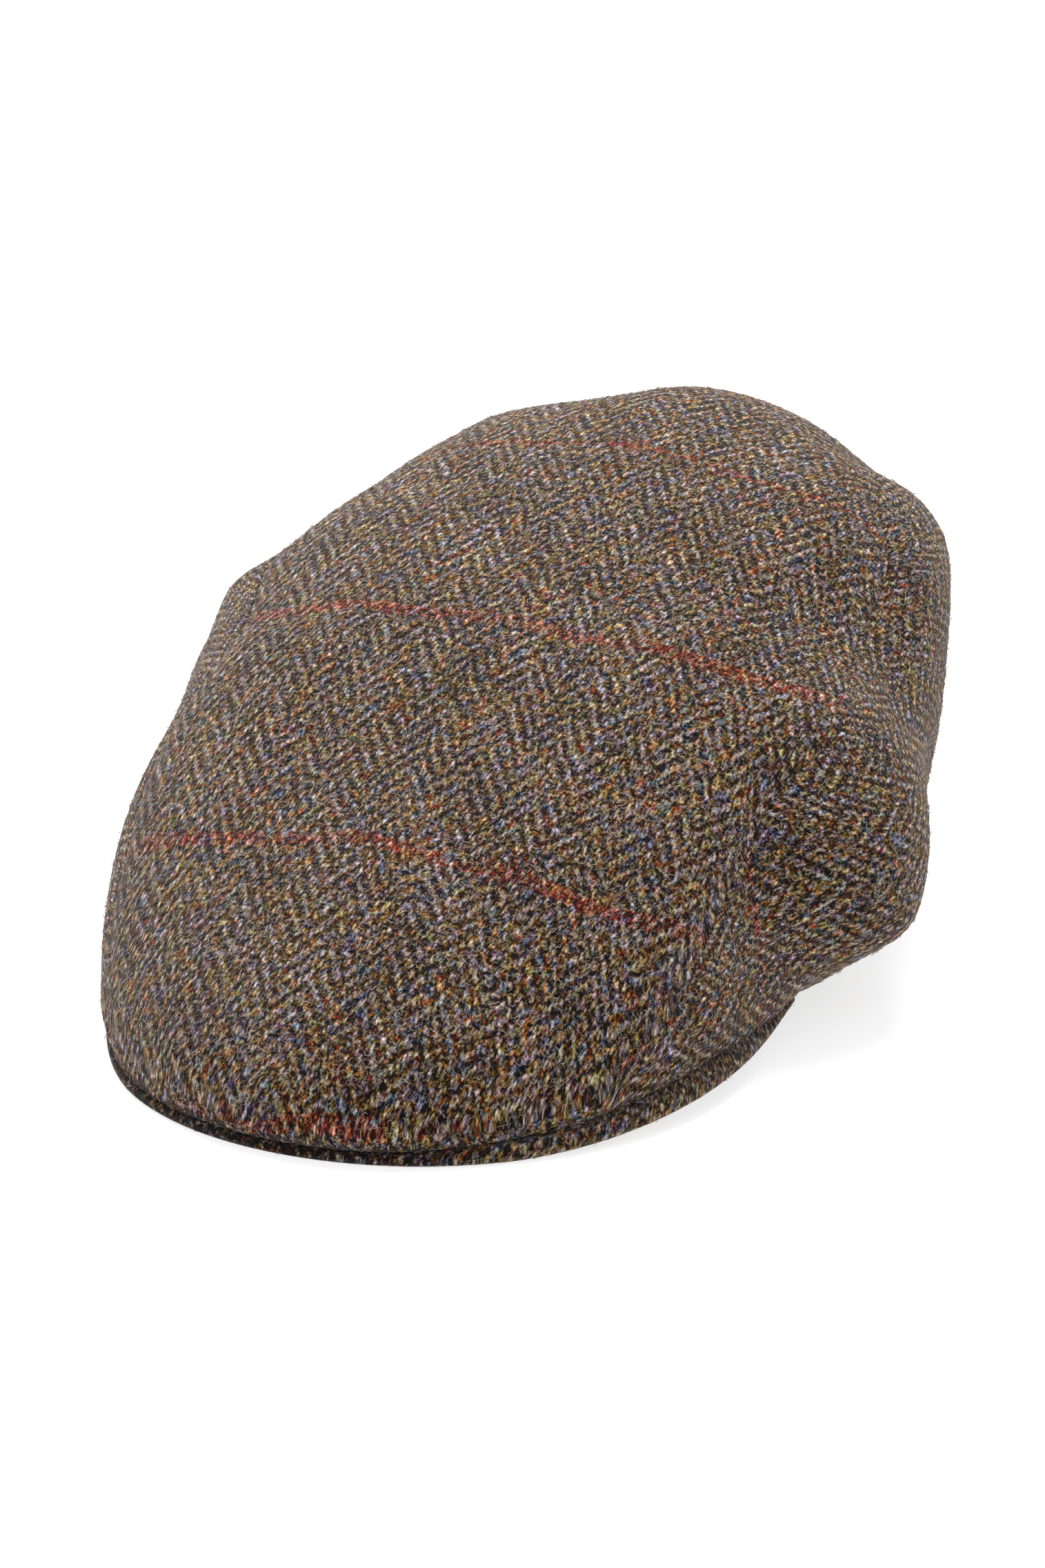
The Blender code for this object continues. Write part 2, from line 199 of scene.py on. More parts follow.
def smooth_ring(angles, values):
    """Return a periodic cubic spline through values at angles, in degrees."""
    knots = np.append(angles, angles[0] + 360.0)
    heights = np.append(values, values[0]).astype(float)
    widths = np.diff(knots)
    slopes = np.diff(heights) / widths
    count = len(widths)
    system = np.zeros((count, count))
    target = np.zeros(count)
    for i in range(count):
        system[i, i - 1] += widths[i - 1]
        system[i, i] += 2 * (widths[i - 1] + widths[i])
        system[i, (i + 1) % count] += widths[i]
        target[i] = 6 * (slopes[i] - slopes[i - 1])
    bends = np.linalg.solve(system, target)
    bends = np.append(bends, bends[0])

    def value(angle):
        turned = knots[0] + (np.asarray(angle, float) - knots[0]) % 360.0
        i = np.clip(np.searchsorted(knots, turned, side="right") - 1, 0, count - 1)
        past, ahead, width = turned - knots[i], knots[i + 1] - turned, widths[i]
        curve = (bends[i] * ahead ** 3 + bends[i + 1] * past ** 3) / (6 * width)
        start = (heights[i] / width - bends[i] * width / 6) * ahead
        end = (heights[i + 1] / width - bends[i + 1] * width / 6) * past
        return curve + start + end

    return value


def section_ring(left_column, right_column):
    """Return a smooth ring through the sections: the wearer's left has positive angles."""
    right = [s for s in reversed(SECTIONS) if 0 < s.angle < 180]
    angles = [-s.angle for s in right] + [s.angle for s in SECTIONS]
    values = [getattr(s, right_column) for s in right] + [getattr(s, left_column) for s in SECTIONS]
    return smooth_ring(angles, values)


peak_share = section_ring("left_peak", "right_peak")
inset_share = section_ring("left_inset", "right_inset")
lift_share = section_ring("lift", "lift")
overhang_share = section_ring("left", "right")
rise_share = section_ring("left_rise", "right_rise")
brow_at = section_ring("brow", "brow")
crest_at = section_ring("crest", "crest")
seam_ring = smooth_ring(
    [-p.angle for p in reversed(SEAM[:-1])] + [p.angle for p in SEAM],
    [p.level for p in reversed(SEAM[:-1])] + [p.level for p in SEAM],
)


def smooth_step(share):
    share = np.clip(share, 0.0, 1.0)
    return share * share * (3 - 2 * share)


def direction(angle):
    turn = np.radians(angle)
    return np.sin(turn), -np.cos(turn)


def hem_reach(angle):
    x, y = direction(angle)
    return 1 / np.hypot(x / (HEAD_WIDTH / 2), y / (HEAD_LENGTH / 2))


def peak_reach(angle):
    return hem_reach(angle) + PEAK_DEPTH * np.maximum(peak_share(angle), 0.0)


def lift(angle):
    return HEM_LIFT * np.maximum(lift_share(angle), 0.0)


def peak_thickness(angle):
    end = smooth_step((np.abs(angle) / PEAK_END - 0.5) / 0.5)
    return PEAK_THICKNESS * (1 - end * (1 - PEAK_END_SHARE))


def peak_underside(angle, reach):
    depth = np.maximum(peak_reach(angle) - hem_reach(angle), CLOTH)
    foot = peak_reach(angle) - PEAK_EDGE[0][0] * peak_thickness(angle)
    share = np.clip((foot - reach) / depth, 0.0, 1.0)
    arch = np.maximum(peak_share(angle), 0.0) ** 0.5
    return lift(angle) + PEAK_RISE * arch * share ** 1.3


def rim_point(angle, inset):
    """Reach and height of the crown's edge, on the peak or on the hem."""
    covered = 1 - smooth_step((np.abs(angle) - PEAK_END) / STEP_DOWN)
    near_peak = smooth_step((PEAK_END + STEP_DOWN - np.abs(angle)) / (PEAK_END / 3))
    edge = EDGE_INSET * inset_share(angle) * near_peak
    reach = peak_reach(angle) - edge - inset
    over_peak = peak_underside(angle, reach) + peak_thickness(angle) + REST_GAP
    return reach, lift(angle) * (1 - covered) + over_peak * covered


def crown_profile(angle, level, inset):
    """Reach and height of the crown's cloth, inset from its outside."""
    _, y = direction(angle)
    slope = math.tan(CROWN_TILT)
    outer_rim, _ = rim_point(angle, 0.0)
    rim_reach, rim_height = rim_point(angle, inset)
    full = outer_rim + OVERHANG * overhang_share(angle) - inset
    bulge_plane = BULGE_HEIGHT + slope * full * y
    bulge = bulge_plane + DOME_RISE * rise_share(angle)
    floor = rim_height + EDGE_TURN
    bulge = floor + EDGE_SOFTNESS * np.log1p(np.exp((bulge - floor) / EDGE_SOFTNESS))
    share = np.sin(np.minimum(level, 1.0) * math.pi / 2)
    plane = BULGE_HEIGHT + slope * share * full * y + (bulge - bulge_plane) * share ** 3
    dome = np.maximum(1 - share ** crest_at(angle), 0.0) ** (1 / brow_at(angle))
    fall = np.clip(level - 1, 0.0, 1.0)
    turn = bulge - RIM_FULLNESS * (bulge - rim_height)
    low_reach = full * (1 - fall ** 2) + rim_reach * fall ** 2
    low_height = bulge * (1 - fall) ** 2 + turn * 2 * fall * (1 - fall) + rim_height * fall ** 2
    upper = level <= 1
    reach = np.where(upper, share * full, low_reach)
    height = np.where(upper, plane + (DOME_RISE - inset) * dome, low_height)
    return reach, height


def rolled(angle):
    """1 where the crown's front edge rolls over the peak's edge, 0 elsewhere."""
    return smooth_step((angle - ROLL_FROM) / ROLL_EASE) * smooth_step((ROLL_TO - angle) / ROLL_EASE)


def seam_level(angle):
    return np.minimum(seam_ring(np.abs(angle)), 2.0)


def sink_depth(angle, level):
    """How far the cloth is drawn in by the seams and the dents."""
    away = (level - seam_level(angle)) * 2 * (peak_reach(angle) + OVERHANG) / SEAM_VALLEY
    start = smooth_step((np.abs(angle) - SIDE_START) / SIDE_EASE)
    drawn = np.where(level < 1, SEAM_SINK * np.exp(-away * away) * start, 0.0)
    for dent in DENTS:
        turn = (angle - dent.angle + 180) % 360 - 180
        spread = (turn / dent.turn) ** 2 + ((level - dent.level) / dent.fall) ** 2
        drawn = drawn + CLOTH * dent.depth * np.exp(-spread)
    return drawn


def crown_point(angle, level, inset):
    """Places of the crown's cloth, from the crown's axis: an array with x, y, z last."""
    angle, level = np.broadcast_arrays(np.asarray(angle, float), np.asarray(level, float))
    reach, height = crown_profile(angle, level, inset)
    away = np.hypot(reach, height - BULGE_HEIGHT)
    between = (level > 0) & (level < 2)
    drawn = np.where(between, 1 - sink_depth(angle, level) / away, 1.0)
    reach = reach * drawn
    height = BULGE_HEIGHT + (height - BULGE_HEIGHT) * drawn
    fall = np.clip(level - 1, 0.0, 1.0)
    lead = np.sin(np.minimum(level, 1.0) * math.pi / 2) ** ROLL_LEAD
    swell = lead * (1 - fall ** 2) + ROLL_BELLY * np.sin(math.pi * fall)
    reach = reach + rolled(angle) * ROLL_OUT * swell
    height = height - rolled(angle) * ROLL_DOWN * fall
    x, y = direction(angle)
    return np.stack((x * reach, y * reach, height), axis=-1)


def level_beside_seam(angle, sign):
    """Level of the cloth's edge: sign is -1 on the top's side of the seam, 1 on the side's."""
    middle = seam_level(angle)
    probe = 0.005
    ahead = crown_point(angle, middle + probe, 0.0)
    behind = crown_point(angle, middle - probe, 0.0)
    pace = np.linalg.norm(ahead - behind, axis=-1) / (2 * probe)
    return np.minimum(middle + sign * SEAM_GAP / 2 / pace, 2.0)


def even_levels(angles, start, end, shares):
    """Levels at shares of the cloth's length from start to end, one column for each angle."""
    probes = start + (end - start) * np.linspace(0, 1, PROBES)[:, None]
    places = crown_point(angles[None, :], probes, 0.0)
    steps = np.linalg.norm(np.diff(places, axis=0), axis=-1)
    lengths = np.vstack((np.zeros(len(angles)), np.cumsum(steps, axis=0)))
    columns = [np.interp(shares * lengths[-1, i], lengths[:, i], probes[:, i])
               for i in range(len(angles))]
    return np.stack(columns, axis=1), lengths[-1]


# Where the crown's axis stands in the frame: between the side panels, behind the peak's front
axis_x = (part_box("side_panel_left")[0].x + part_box("side_panel_right")[1].x) / 2
AXIS = np.array((axis_x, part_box("peak")[0].y + float(peak_reach(0.0)), 0.0))


# Cloth map

def centre_lengths():
    """Lengths of cloth along the middle of the cap, from the top, against y."""
    levels = np.linspace(0, 1, 400)
    runs = []
    for angle in (0.0, 180.0):
        places = crown_point(angle, levels, 0.0)
        steps = np.linalg.norm(np.diff(places, axis=0), axis=-1)
        runs.append((places[:, 1], np.append(0.0, np.cumsum(steps))))
    front, back = runs
    y = np.concatenate((front[0][:0:-1], back[0]))
    length = np.concatenate((-front[1][:0:-1], back[1]))
    order = np.argsort(y)
    return y[order], length[order]


MIDDLE_Y, MIDDLE_LENGTH = centre_lengths()


def across_lengths(tree):
    """Lengths of cloth across the cap from its middle, on a grid over x and y."""
    xs = np.arange(*MAP_X)
    ys = np.arange(*MAP_Y)
    heights = np.full((len(ys), len(xs)), np.nan)
    for j, y in enumerate(ys):
        for i, x in enumerate(xs):
            hit = tree.ray_cast(Vector((x, y, MAP_TOP)), Vector((0, 0, -1)))[0]
            if hit is not None:
                heights[j, i] = hit.z
    steps = np.diff(xs)[None, :]
    rise = np.nan_to_num(np.diff(heights, axis=1), nan=0.0)
    rise = np.clip(rise, -MAP_RISE, MAP_RISE)
    lengths = np.hypot(steps, rise)
    run = np.hstack((np.zeros((len(ys), 1)), np.cumsum(lengths, axis=1)))
    zero = np.array([np.interp(0.0, xs, row) for row in run])
    return xs, ys, run - zero[:, None]


def grid_value(xs, ys, grid, x, y):
    """Bilinear value of a grid at points x, y."""
    i = np.clip(np.searchsorted(xs, x) - 1, 0, len(xs) - 2)
    j = np.clip(np.searchsorted(ys, y) - 1, 0, len(ys) - 2)
    s = (x - xs[i]) / (xs[i + 1] - xs[i])
    t = np.clip((y - ys[j]) / (ys[j + 1] - ys[j]), 0, 1)
    below = grid[j, i] * (1 - s) + grid[j, i + 1] * s
    above = grid[j + 1, i] * (1 - s) + grid[j + 1, i + 1] * s
    return below * (1 - t) + above * t


def wander(u, v, size, reach, seed):
    """A smooth wander of the threads, of waves about size long in six directions."""
    turns = np.random.default_rng(seed).uniform(0, 2 * math.pi, (6, 3))
    total = 0.0
    for turn, pace, start in turns:
        run = u * math.cos(turn) + v * math.sin(turn)
        total = total + np.sin(run * 2 * math.pi / size * (1 + pace / 9) + start)
    return reach * total / 3


def wavy(u, v):
    """The map's places with the threads' wander."""
    new_u, new_v = u, v
    for wave in U_WANDERS:
        new_u = new_u + wander(u, v, *wave)
    for wave in V_WANDERS:
        new_v = new_v + wander(u, v, *wave)
    return new_u, new_v


def rib_height(u, v):
    """Height of the herringbone's ribs, from -1 to 1."""
    end, pick = (u - STRIPE_START) / END, v / PICK
    place = np.floor(end) % (2 * STRIPE)
    inside = end - np.floor(end) - 0.5
    rising = np.where(place < STRIPE, place + inside, 2 * STRIPE + 1 - place - inside)
    return np.sin((pick - rising) * math.pi / 2)


# Meshes

def new_piece(name, points, faces, cloth, material, node, painted_shade_mask=None):
    """A piece on the frame, in place of node if there is one. Its second map, if given, is a mask of
    painted shade.
    """
    mesh = bpy.data.meshes.new(name)
    mesh.from_pydata(np.asarray(points) + AXIS, [], faces)
    mesh.update()
    loops = np.zeros(len(mesh.loops), dtype=np.int32)
    mesh.loops.foreach_get("vertex_index", loops)
    mesh.uv_layers.new(name="cloth").data.foreach_set("uv", np.asarray(cloth)[loops].ravel())
    # the second map is a mask of painted shade for the materials
    if painted_shade_mask is not None:
        shares = np.stack((painted_shade_mask, np.zeros(len(painted_shade_mask))), axis=-1)
        mesh.uv_layers.new(name="painted_shade_mask").data.foreach_set("uv", shares[loops].ravel())
    mesh.shade_smooth()
    mesh.materials.append(material)
    piece = bpy.data.objects.new(name, mesh)
    bpy.context.scene.collection.objects.link(piece)
    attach(piece, "root")
    if node:
        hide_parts(node)
    return piece


def row_shares(rows, length):
    """Shares of the cloth's length, closer together at a rolled edge at the end."""
    roll = EDGE_ROLL / length
    plain = np.linspace(0, 1 - roll, rows - ROLL_ROWS + 1)
    rolled = 1 - roll * (1 - np.sin(np.linspace(0, math.pi / 2, ROLL_ROWS + 1)[1:]))
    return np.concatenate((plain, rolled))


def roll_inset(distance):
    """How far a rolled edge turns in at a distance from the edge."""
    inside = np.clip(EDGE_ROLL - distance, 0, EDGE_ROLL)
    return EDGE_ROLL - np.sqrt(np.maximum(EDGE_ROLL ** 2 - inside ** 2, 0))


def stitch(outer, inner, step, flip):
    """Faces between a fine edge and a coarse one with step times fewer points."""
    faces = []
    spans = len(inner) - 1
    for i in range(spans):
        a, b = inner[i], inner[i + 1]
        half = i * step + step // 2
        for k in range(i * step, (i + 1) * step):
            corner = a if k < half else b
            faces.append((outer[k], outer[k + 1], corner))
        faces.append((outer[half], b, a))
    if flip:
        faces = [face[::-1] for face in faces]
    return faces


def grid(rows, columns, base, ring, flip):
    """Faces of a grid of points that starts at base, rows first, closed where ring is true."""
    spans = columns if ring else columns - 1
    faces = []
    for row in range(rows - 1):
        start = base + row * columns
        for column in range(spans):
            a, b = start + column, start + (column + 1) % columns
            face = (a, a + columns, b + columns, b)
            faces.append(face[::-1] if flip else face)
    return faces


def normals_of(points, ring):
    """Outward normals of a grid of points, rows first."""
    if ring:
        along = np.roll(points, -1, axis=1) - np.roll(points, 1, axis=1)
    else:
        along = np.gradient(points, axis=1)
    down = np.gradient(points, axis=0)
    normal = np.cross(down, along)
    return normal / np.maximum(np.linalg.norm(normal, axis=-1, keepdims=True), 1e-12)


def ribbed(points, ring, side, u, v, share):
    """The points with the herringbone's ribs raised, by share of their height."""
    raised = RIB_RELIEF * rib_height(u, v) * share
    return points + normals_of(points, ring) * side * raised[..., None]


def top_panel(material):
    """The top of the crown, and how many faces its outside has."""
    count = int(360 / COLUMN_STEP)
    angles = -180 + COLUMN_STEP * np.arange(count)
    edge = np.where(np.abs(angles) > SEAM[0].angle, level_beside_seam(angles, -1), 2.0)
    shares = row_shares(TOP_ROWS, TOP_LENGTH)
    levels, lengths = even_levels(angles, 0.0, edge, shares)
    distance = (1 - shares)[:, None] * lengths[None, :]
    flat = crown_point(angles[None, :], levels, 0.0)
    tree = BVHTree.FromPolygons(
        [Vector(p) for p in flat[1:].reshape(-1, 3)], grid(TOP_ROWS, count, 0, True, False))
    across = across_lengths(tree)
    on_top = crown_point(angles[None, :], np.minimum(levels, 1.0), 0.0)
    u = grid_value(*across, on_top[..., 0], on_top[..., 1])
    v = np.interp(on_top[..., 1], MIDDLE_Y, MIDDLE_LENGTH)
    steps = np.linalg.norm(np.diff(flat, axis=0), axis=-1)
    steps = np.where(levels[1:] > 1, steps, 0.0)
    below = np.vstack((np.zeros(count), np.cumsum(steps, axis=0)))
    x, y = direction(angles)
    u = u + below * x
    v = v + below * y
    u, v = wavy(u, v)
    points = crown_point(angles[None, :], levels, roll_inset(distance))
    middle = smooth_step(distance / RIB_EASE) * smooth_step(np.arange(TOP_ROWS + 1)[:, None] / RIB_ROWS)
    points = ribbed(points, True, 1, u, v, middle)
    inner_angles = angles[::INNER_STEP]
    inner_levels, _ = even_levels(
        inner_angles, 0.0, edge[::INNER_STEP], np.linspace(0, 1, INNER_ROWS + 1))
    inner = crown_point(inner_angles[None, :], inner_levels, CLOTH)
    few = len(inner_angles)
    verts = np.vstack((points[0, :1], points[1:].reshape(-1, 3),
                       inner[0, :1], inner[1:].reshape(-1, 3)))
    outer_uv, inner_uv = np.stack((u, v), axis=-1), inner[..., :2]
    cloth = np.vstack((outer_uv[0, :1], outer_uv[1:].reshape(-1, 2),
                       inner_uv[0, :1], inner_uv[1:].reshape(-1, 2)))
    start = 1 + TOP_ROWS * count
    faces = [(0, 1 + i, 1 + (i + 1) % count) for i in range(count)]
    faces += grid(TOP_ROWS, count, 1, True, False)
    faces += [(start, start + 1 + (i + 1) % few, start + 1 + i) for i in range(few)]
    faces += grid(INNER_ROWS, few, start + 1, True, True)
    last = 1 + (TOP_ROWS - 1) * count
    inner_last = start + 1 + (INNER_ROWS - 1) * few
    outer_edge = [last + i % count for i in range(count + 1)]
    inner_edge = [inner_last + i % few for i in range(few + 1)]
    faces += stitch(outer_edge, inner_edge, INNER_STEP, True)
    # painted shade: the top's cloth is darkened towards the rim where its edge rolls over the peak
    outer_painted_shade = rolled(angles)[None, :] * smooth_step((levels - PAINTED_SHADE_START) / (2 - PAINTED_SHADE_START))
    painted_shade_mask = np.concatenate((outer_painted_shade[0, :1], outer_painted_shade[1:].ravel(),
                            np.zeros(1 + INNER_ROWS * few)))
    piece = new_piece(
        "top_cloth_panel", verts, faces, cloth, material, "top_panel", painted_shade_mask)
    return piece, TOP_ROWS * count


def side_panel(name, side, material, node):
    """A side of the crown, and how many faces its outside has. side is 1 on the wearer's left."""
    back = 180 - math.degrees(SEAM_GAP / HEAD_LENGTH)
    count = INNER_STEP * int((back - SIDE_START) / COLUMN_STEP / INNER_STEP)
    turns = np.linspace(SIDE_START, back, count + 1)
    angles = side * turns
    start = level_beside_seam(angles, 1)
    shares = 1 - row_shares(SIDE_ROWS, SIDE_LENGTH)[::-1]
    levels, lengths = even_levels(angles, start, np.full(count + 1, 2.0), shares)
    distance = shares[:, None] * lengths[None, :]
    flat = crown_point(angles[None, :], levels, 0.0)
    steps = np.linalg.norm(np.diff(flat, axis=0), axis=-1)
    run = np.vstack((np.zeros(count + 1), np.cumsum(steps, axis=0)))
    line = np.array([np.interp(SIDE_LINE, flat[::-1, i, 2], run[::-1, i]) for i in range(count + 1)])
    u = line[None, :] - run
    ring = np.linalg.norm(np.diff(crown_point(angles, 1.0, 0.0), axis=0), axis=-1)
    v = np.append(0.0, np.cumsum(ring))[None, :] * side + np.zeros_like(u)
    u, v = wavy(u + SIDE_PLACE * side, v)
    back_distance = np.radians(back - turns)[None, :] * RING_REACH
    inset = np.maximum(roll_inset(distance), roll_inset(back_distance))
    points = crown_point(angles[None, :], levels, inset)
    middle = smooth_step(np.minimum(distance, back_distance) / RIB_EASE)
    points = ribbed(points, False, side, u, v, middle)
    inner_angles = angles[::INNER_STEP]
    inner_levels, _ = even_levels(inner_angles, start[::INNER_STEP],
                                  np.full(len(inner_angles), 2.0), np.linspace(0, 1, INNER_ROWS + 1))
    inner = crown_point(inner_angles[None, :], inner_levels, CLOTH)
    few, columns = len(inner_angles), count + 1
    base = (SIDE_ROWS + 1) * columns
    verts = np.vstack((points.reshape(-1, 3), inner.reshape(-1, 3)))
    outer_uv = np.stack((u, v), axis=-1)
    kept_rows = np.linspace(0, SIDE_ROWS, INNER_ROWS + 1).astype(int)
    inner_uv = outer_uv[kept_rows, ::INNER_STEP]
    cloth = np.vstack((outer_uv.reshape(-1, 2), inner_uv.reshape(-1, 2)))
    flip = side < 0
    faces = grid(SIDE_ROWS + 1, columns, 0, False, flip)
    faces += grid(INNER_ROWS + 1, few, base, False, not flip)
    last = SIDE_ROWS * columns
    inner_last = base + INNER_ROWS * few
    faces += stitch(list(range(columns)), list(range(base, base + few)), INNER_STEP, flip)
    faces += stitch(list(range(last, last + columns)), list(range(inner_last, inner_last + few)),
                    INNER_STEP, not flip)
    for column, inner_column, turned in ((0, 0, flip), (columns - 1, few - 1, not flip)):
        outer = [row * columns + column for row in range(SIDE_ROWS + 1)]
        inside = [base + row * few + inner_column for row in range(INNER_ROWS + 1)]
        faces += uneven_strip(outer, inside, not turned)
    return new_piece(name, verts, faces, cloth, material, node), SIDE_ROWS * count


def uneven_strip(outer, inner, flip):
    """Triangles between two lines with different numbers of points."""
    faces = []
    i = j = 0
    while i < len(outer) - 1 or j < len(inner) - 1:
        if j == len(inner) - 1 or (i < len(outer) - 1
                                   and (i + 1) * (len(inner) - 1) <= (j + 1) * (len(outer) - 1)):
            faces.append((outer[i], outer[i + 1], inner[j]))
            i += 1
        else:
            faces.append((outer[i], inner[j + 1], inner[j]))
            j += 1
    return [face[::-1] for face in faces] if flip else faces


def peak(material):
    """The peak's cover, and how many faces it has without its ends."""
    angles = np.linspace(-PEAK_END, PEAK_END, PEAK_COLUMNS + 1)
    thickness = peak_thickness(angles) - ROLL_DOWN * rolled(angles)
    edge = peak_reach(angles)
    inner = hem_reach(angles) - EDGE_INSET
    reaches, heights = [], []
    for row in range(PEAK_ROWS):
        foot = edge - PEAK_EDGE[0][0] * thickness
        reach = inner + (foot - inner) * row / PEAK_ROWS
        reaches.append(reach)
        heights.append(peak_underside(angles, reach))
    nose, corners = np.linspace(0, 1, NOSE_ROWS + 1), np.linspace(0, 1, len(PEAK_EDGE))
    nose_inset, nose_height = (np.interp(nose, corners, column) for column in zip(*PEAK_EDGE))
    for inset, height in zip(nose_inset, nose_height):
        reach = edge - inset * thickness
        reaches.append(reach)
        heights.append(peak_underside(angles, reach) + height * thickness)
    for row in range(PEAK_ROWS - 1, -1, -1):
        foot = edge - PEAK_EDGE[-1][0] * thickness
        reach = inner + (foot - inner) * row / PEAK_ROWS
        reaches.append(reach)
        heights.append(peak_underside(angles, reach) + thickness)
    reaches, heights = np.array(reaches), np.array(heights)
    x, y = direction(angles)
    points = np.stack((x * reaches, y * reaches, heights), axis=-1).transpose(1, 0, 2)
    count, size = points.shape[:2]
    steps = np.linalg.norm(np.diff(points, axis=1), axis=-1)
    v = np.hstack((np.zeros((count, 1)), np.cumsum(steps, axis=1)))
    u = np.radians(angles)[:, None] * RING_REACH + np.zeros_like(v)
    u, v = wavy(u, v)
    faces = []
    for i in range(count - 1):
        for k in range(size):
            k2 = (k + 1) % size
            faces.append((i * size + k, (i + 1) * size + k, (i + 1) * size + k2, i * size + k2))
    half = size // 2
    for base, flip in ((0, False), ((count - 1) * size, True)):
        for k in range(half):
            face = (base + k, base + k + 1, base + size - 2 - k, base + size - 1 - k)
            if face[1] == face[2]:
                face = (face[0], face[1], face[3])
            faces.append(face[::-1] if flip else face)
    cloth = np.stack((u, v), axis=-1).reshape(-1, 2)
    # painted shade: the peak's cover is darkened where the crown's roll hangs over it
    painted_shade_mask = np.repeat(rolled(angles), size)
    piece = new_piece(
        "peak_cloth_cover", points.reshape(-1, 3), faces, cloth, material, "peak", painted_shade_mask)
    return piece, PEAK_COLUMNS * size


def loose_wool(name, covered, number, seed, material):
    """Curled fibres, as thin closed tubes, on the outside of a piece: its first faces."""
    draw = np.random.default_rng(seed)
    cloth, outside = covered
    mesh = cloth.data
    places = np.zeros(len(mesh.vertices) * 3)
    mesh.vertices.foreach_get("co", places)
    places = places.reshape(-1, 3)
    corners = np.array([tuple(mesh.polygons[i].vertices)[:3] for i in range(outside)])
    a, b, c = places[corners[:, 0]], places[corners[:, 1]], places[corners[:, 2]]
    normals = np.cross(b - a, c - a)
    areas = np.linalg.norm(normals, axis=1)
    picked = draw.choice(len(corners), number, p=areas / areas.sum())
    normal = normals[picked] / areas[picked, None]
    root = (a[picked] + c[picked]) / 2
    side = np.cross(normal, draw.normal(size=(number, 3)))
    side /= np.linalg.norm(side, axis=1, keepdims=True)
    other = np.cross(normal, side)
    length = draw.uniform(*FIBRE_LENGTH, number)
    curl = draw.normal(0, 1, number) * FIBRE_CURL
    wave = draw.uniform(0, 2 * math.pi, (number, 2))
    rise = draw.gamma(2.0, FIBRE_RISE, number)
    share = np.linspace(-0.5, 0.5, FIBRE_PARTS + 1)[None, :]
    run = share * length[:, None]
    turn = curl[:, None] * run + FIBRE_SWING * np.sin(share * FIBRE_SWINGS + wave[:, :1])
    step = length[:, None] / FIBRE_PARTS
    x = np.cumsum(np.cos(turn) * step, axis=1)
    y = np.cumsum(np.sin(turn) * step, axis=1)
    x, y = x - x.mean(axis=1, keepdims=True), y - y.mean(axis=1, keepdims=True)
    z = rise[:, None] * (1 + np.sin(share * FIBRE_RISES + wave[:, 1:])) + FIBRE_RISE
    path = (root[:, None] + x[..., None] * side[:, None] + y[..., None] * other[:, None]
            + z[..., None] * normal[:, None])
    along = np.gradient(path, axis=1)
    along /= np.linalg.norm(along, axis=2, keepdims=True)
    across = np.cross(along, normal[:, None])
    across /= np.maximum(np.linalg.norm(across, axis=2, keepdims=True), 1e-9)
    upright = np.cross(across, along)
    thickness = FIBRE_RADIUS * draw.uniform(*FIBRE_THICKNESS, number)
    radius = thickness[:, None] * (1 - FIBRE_TAPER * (2 * np.abs(share)) ** 3)
    rings = []
    for k in range(FIBRE_SIDES):
        turn = 2 * math.pi * k / FIBRE_SIDES
        rings.append(path + radius[..., None] * (across * math.cos(turn) + upright * math.sin(turn)))
    points = np.stack(rings, axis=2).reshape(-1, 3)
    points[:, 2] = np.maximum(points[:, 2], 0.0)
    size = (FIBRE_PARTS + 1) * FIBRE_SIDES
    ring = (np.arange(number)[:, None] * size + np.arange(FIBRE_PARTS) * FIBRE_SIDES)[..., None]
    k = np.arange(FIBRE_SIDES)
    k2 = (k + 1) % FIBRE_SIDES
    above = ring + FIBRE_SIDES
    quads = np.stack((ring + k, ring + k2, above + k2, above + k), axis=-1)
    first = np.arange(number) * size
    last = first + FIBRE_PARTS * FIBRE_SIDES
    faces = quads.reshape(-1, 4).tolist()
    faces += np.stack((first + 2, first + 1, first), axis=-1).tolist()
    faces += np.stack((last, last + 1, last + 2), axis=-1).tolist()
    chance = np.repeat(draw.uniform(size=(number, 2)), size, axis=0)
    return new_piece(name, points - AXIS, faces, chance, material, None)


# Materials

class Value:
    """A number made by shader nodes, so that a formula reads as one."""

    def __init__(self, tree, socket):
        self.tree = tree
        self.socket = socket

    def math(self, operation, *others):
        node = self.tree.nodes.new("ShaderNodeMath")
        node.operation = operation
        for place, item in zip(node.inputs, (self, *others)):
            feed(self.tree, place, item)
        return Value(self.tree, node.outputs[0])

    def __add__(self, other):
        return self.math("ADD", other)

    def __sub__(self, other):
        return self.math("SUBTRACT", other)

    def __mul__(self, other):
        return self.math("MULTIPLY", other)

    def __truediv__(self, other):
        return self.math("DIVIDE", other)

    def floor(self):
        return self.math("FLOOR")

    def size(self):
        return self.math("ABSOLUTE")

    def within(self, size):
        return self.math("FLOORED_MODULO", size)

    def below(self, other):
        return self.math("LESS_THAN", other)

    def smooth(self, low, high):
        """0 up to low and 1 from high on, or the other way round where low is above high."""
        node = self.tree.nodes.new("ShaderNodeMapRange")
        node.interpolation_type = "SMOOTHSTEP"
        feed(self.tree, node.inputs["Value"], self)
        node.inputs["From Min"].default_value = low
        node.inputs["From Max"].default_value = high
        return Value(self.tree, node.outputs[0])


def feed(tree, place, item):
    """Link a value or a socket into place, or set the number there."""
    if isinstance(item, Value):
        item = item.socket
    if isinstance(item, bpy.types.NodeSocket):
        tree.links.new(item, place)
    else:
        place.default_value = item


def vector(tree, *parts):
    node = tree.nodes.new("ShaderNodeCombineXYZ")
    for place, part in zip(node.inputs, parts):
        feed(tree, place, part)
    return node.outputs[0]


